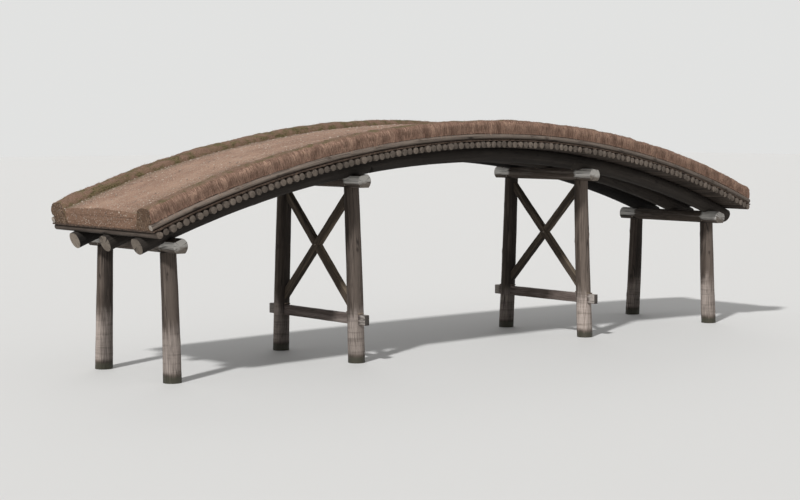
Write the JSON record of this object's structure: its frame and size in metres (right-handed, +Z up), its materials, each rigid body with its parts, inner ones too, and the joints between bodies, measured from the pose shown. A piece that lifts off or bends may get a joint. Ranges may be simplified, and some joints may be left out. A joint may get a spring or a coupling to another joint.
{
  "type": "earth covered timber footbridge",
  "caption": "Low arched garden footbridge of round timber: hewn curved girders on braced post bents carry a deck of cross logs, an earth path and turf shoulders.",
  "frame": {"origin": "midway between the banks and between the two edges, at the level of the water, where the posts end", "axes": "+X along the bridge, towards its right end as seen from the near side; +Y across it, to the far side; +Z up"},
  "size_m": [10.622, 2.3749, 3.0299],
  "materials": {
    "post_timber": "weathered, barked logs, matt",
    "cap_timber": "weathered, hewn log, matt",
    "brace_timber": "weathered, sawn, dark, matt",
    "wedge_timber": "split hardwood, matt",
    "girder_timber": "weathered, hewn log, dark, matt",
    "deck_timber": "weathered, barked logs, matt",
    "bark": "bark sheet, rough",
    "pole_timber": "weathered pole, pale, matt",
    "turf": "dry turf and moss on earth, rough",
    "earth": "beaten earth with gravel, rough"
  },
  "bodies": {
    "root": {"left_river_near_post": "post_timber", "left_river_far_post": "post_timber", "right_river_near_post": "post_timber", "right_river_far_post": "post_timber", "left_bank_near_post": "post_timber", "left_bank_far_post": "post_timber", "right_bank_near_post": "post_timber", "right_bank_far_post": "post_timber", "left_river_cap_beam": "cap_timber", "right_river_cap_beam": "cap_timber", "left_bank_cap_beam": "cap_timber", "right_bank_cap_beam": "cap_timber", "left_tie_beam": "brace_timber", "right_tie_beam": "brace_timber", "left_tie_wedges": "wedge_timber", "right_tie_wedges": "wedge_timber", "left_brace_to_near_head": "brace_timber", "left_brace_to_far_head": "brace_timber", "right_brace_to_near_head": "brace_timber", "right_brace_to_far_head": "brace_timber", "near_girder_crown": "girder_timber", "middle_girder_crown": "girder_timber", "far_girder_crown": "girder_timber", "near_girder_left": "girder_timber", "middle_girder_left": "girder_timber", "far_girder_left": "girder_timber", "near_girder_right": "girder_timber", "middle_girder_right": "girder_timber", "far_girder_right": "girder_timber", "deck_logs_left": "deck_timber", "deck_logs_crown": "deck_timber", "deck_logs_right": "deck_timber", "bark_bed": "bark", "near_edge_pole": "pole_timber", "far_edge_pole": "pole_timber", "near_turf_edge": "turf", "far_turf_edge": "turf", "earth_path": "earth"}
  },
  "joints": []
}
